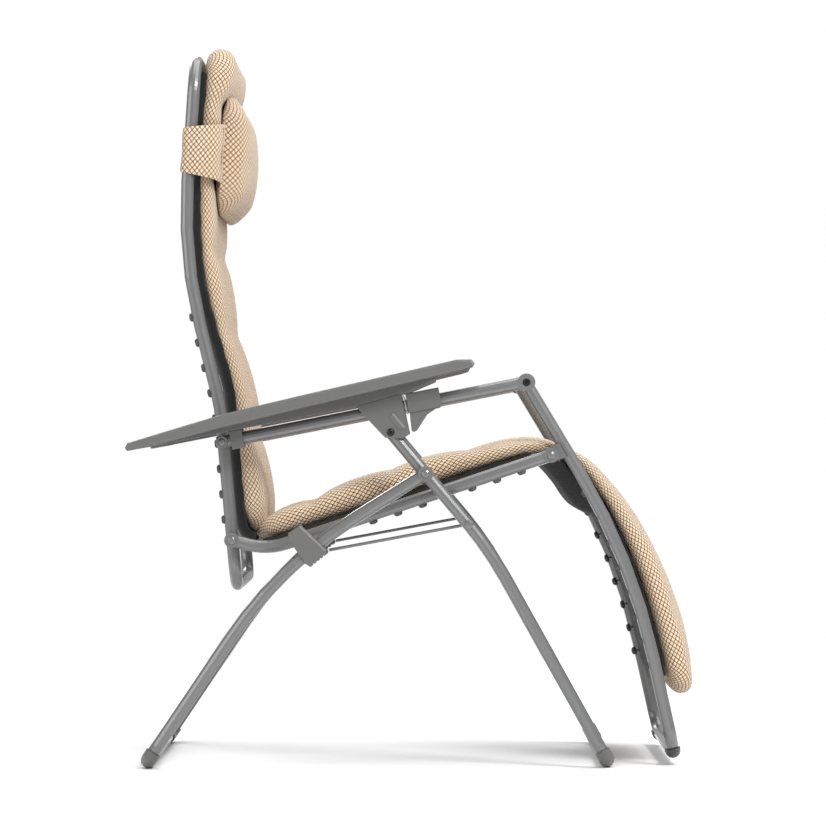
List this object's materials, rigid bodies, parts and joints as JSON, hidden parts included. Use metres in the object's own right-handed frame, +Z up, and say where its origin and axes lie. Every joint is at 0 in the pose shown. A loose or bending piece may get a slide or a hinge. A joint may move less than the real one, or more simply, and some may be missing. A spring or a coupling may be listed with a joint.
{
  "type": "folding recliner",
  "caption": "Folding outdoor lounge chair with crossed tube legs, linked back and foot sections, clamp armrests, beige mesh padding and a strap-on head pillow.",
  "frame": {"origin": "on the floor, centred under the whole chair in its upright open position", "axes": "+X the way the sitter faces, +Y the sitter's left, +Z up"},
  "size_m": [0.892, 0.71, 1.148],
  "materials": {
    "painted_tube": "satin grey powder coat",
    "grey_plastic": "fine matt texture",
    "dark_plastic": "matt",
    "black_plastic": "matt",
    "bare_steel": "zinc plated",
    "black_bolt": "black oxide",
    "beige_mesh": "open diamond weave over black backing",
    "black_backing": "plain woven"
  },
  "bodies": {
    "rear_legs": {"rear_leg_frame": "painted_tube", "rear_shoe_left": "grey_plastic", "rear_shoe_right": "grey_plastic", "scissor_rivet_left": "painted_tube", "scissor_rivet_right": "painted_tube"},
    "front_legs": {"front_leg_frame": "painted_tube", "front_shoe_left": "grey_plastic", "front_shoe_right": "grey_plastic", "rod_pin_left": "painted_tube", "rod_pin_right": "painted_tube"},
    "slide_blocks": {"slide_block_left": "grey_plastic", "slide_block_right": "grey_plastic"},
    "tie_rods": {"tie_rod_left": "painted_tube", "tie_rod_right": "painted_tube"},
    "seat_pins": {"seat_pin_left": "painted_tube", "seat_pin_right": "painted_tube"},
    "seat": {"seat_rail_left": "painted_tube", "seat_rail_right": "painted_tube", "seat_pad": "beige_mesh", "seat_sling": "black_backing"},
    "back_pins": {"back_seat_pin_left": "painted_tube", "back_seat_pin_right": "painted_tube"},
    "back": {"back_frame": "painted_tube", "back_pad": "beige_mesh", "back_sling": "black_backing"},
    "foot_pins": {"foot_seat_pin_left": "painted_tube", "foot_seat_pin_right": "painted_tube"},
    "foot_section": {"foot_frame": "painted_tube", "foot_pad": "beige_mesh", "foot_sling": "black_backing", "foot_cap_left": "black_plastic", "foot_cap_right": "black_plastic"},
    "armrest_bolts": {"armrest_bolt_left": "black_bolt", "armrest_bolt_right": "black_bolt"},
    "armrests": {"armrest_left": "grey_plastic", "armrest_right": "grey_plastic", "rear_guide_left": "grey_plastic", "rear_guide_right": "grey_plastic", "arm_bracket_left": "grey_plastic", "arm_bracket_right": "grey_plastic", "clamp_plate_left": "bare_steel", "clamp_plate_right": "bare_steel"},
    "glide_strips": {"glide_strip_left": "dark_plastic", "glide_strip_right": "dark_plastic"},
    "arm_bars": {"arm_bar_left": "painted_tube", "arm_bar_right": "painted_tube", "knuckle_bolt_left": "black_bolt", "knuckle_bolt_right": "black_bolt", "arm_bar_bolt_left": "painted_tube", "arm_bar_bolt_right": "painted_tube"},
    "lever_left": {"lock_lever_left": "grey_plastic"},
    "lever_right": {"lock_lever_right": "grey_plastic"},
    "pillow": {"head_pillow": "beige_mesh", "pillow_strap": "beige_mesh"}
  },
  "joints": [
    {"name": "leg_fold", "type": "hinge", "parent": "rear_legs", "child": "front_legs", "pos_m": [0.0224, 0, 0.4643], "axis": [0, -1, 0], "range_deg": [-74, 0], "deforming": ["back_pad", "seat_pad"]},
    {"name": "block_glide", "type": "hinge", "parent": "rear_legs", "child": "slide_blocks", "pos_m": [0.27158, 0, -0.17238], "axis": [0, -1, 0], "range_deg": [-0.2, 11.55]},
    {"name": "rod_swing", "type": "hinge", "parent": "front_legs", "child": "tie_rods", "pos_m": [0.0905, 0, 0.3843], "axis": [0, -1, 0], "range_deg": [-0.2, 96.8]},
    {"name": "seat_tilt_recline", "type": "hinge", "parent": "slide_blocks", "child": "seat_pins", "pos_m": [-0.1755, 0, 0.3609], "axis": [0, -1, 0], "range_deg": [-0.2, 12.41]},
    {"name": "seat_tilt_fold", "type": "hinge", "parent": "seat_pins", "child": "seat", "pos_m": [-0.1755, 0, 0.3609], "axis": [0, -1, 0], "range_deg": [-0.2, 12.94]},
    {"name": "recline", "type": "hinge", "parent": "seat", "child": "back_pins", "pos_m": [-0.2833, 0, 0.3587], "axis": [0, -1, 0], "range_deg": [-0.2, 30.2]},
    {"name": "back_fold", "type": "hinge", "parent": "back_pins", "child": "back", "pos_m": [-0.2833, 0, 0.3587], "axis": [0, -1, 0], "range_deg": [-76.2, 0.2]},
    {"name": "foot_raise", "type": "hinge", "parent": "seat", "child": "foot_pins", "pos_m": [0.2205, 0, 0.4928], "axis": [0, -1, 0], "range_deg": [-0.2, 45.8]},
    {"name": "foot_fold", "type": "hinge", "parent": "foot_pins", "child": "foot_section", "pos_m": [0.2205, 0, 0.4928], "axis": [0, -1, 0], "range_deg": [-91.68, 0.2]},
    {"name": "armrest_tilt_recline", "type": "hinge", "parent": "front_legs", "child": "armrest_bolts", "pos_m": [-0.0323, 0, 0.5293], "axis": [0, -1, 0], "range_deg": [-0.2, 8.24]},
    {"name": "armrest_fold", "type": "hinge", "parent": "armrest_bolts", "child": "armrests", "pos_m": [-0.0323, 0, 0.5293], "axis": [0, -1, 0], "range_deg": [-0.2, 101.39]},
    {"name": "bar_glide_recline", "type": "slide", "parent": "armrests", "child": "glide_strips", "axis": [-0.9813, 0, -0.1924], "range_m": [0, 0.10839]},
    {"name": "bar_glide_fold", "type": "slide", "parent": "glide_strips", "child": "arm_bars", "axis": [-0.9813, 0, -0.1924], "range_m": [-0.0005, 0.12392]},
    {"name": "lock_lever_left", "type": "hinge", "parent": "armrests", "child": "lever_left", "pos_m": [-0.00599, 0, 0.58625], "axis": [0, -1, 0], "range_deg": [0, 9], "stiffness_Nm_per_rad": 0.3},
    {"name": "lock_lever_right", "type": "hinge", "parent": "armrests", "child": "lever_right", "pos_m": [-0.00599, 0, 0.58625], "axis": [0, -1, 0], "range_deg": [0, 9], "stiffness_Nm_per_rad": 0.3},
    {"name": "pillow_slide", "type": "slide", "parent": "back", "child": "pillow", "axis": [0.0668, 0, 0.9978], "range_m": [-0.018, 0]}
  ],
  "couplings": [
    {"joint": "block_glide", "follows": "leg_fold", "ratio": -0.15333},
    {"joint": "rod_swing", "follows": "leg_fold", "ratio": -1.3054},
    {"joint": "seat_tilt_recline", "follows": "bar_glide_recline", "rad_per_m": 1.9658},
    {"joint": "seat_tilt_fold", "follows": "leg_fold", "ratio": -0.17221},
    {"joint": "recline", "follows": "bar_glide_recline", "rad_per_m": 4.8309},
    {"joint": "back_fold", "follows": "leg_fold", "ratio": 1.027},
    {"joint": "foot_raise", "follows": "bar_glide_recline", "rad_per_m": 7.3433},
    {"joint": "foot_fold", "follows": "leg_fold", "ratio": 1.2362},
    {"joint": "armrest_tilt_recline", "follows": "bar_glide_recline", "rad_per_m": 1.2955},
    {"joint": "armrest_fold", "follows": "leg_fold", "ratio": -1.3674},
    {"joint": "bar_glide_fold", "follows": "leg_fold", "m_per_rad": -0.095557}
  ]
}
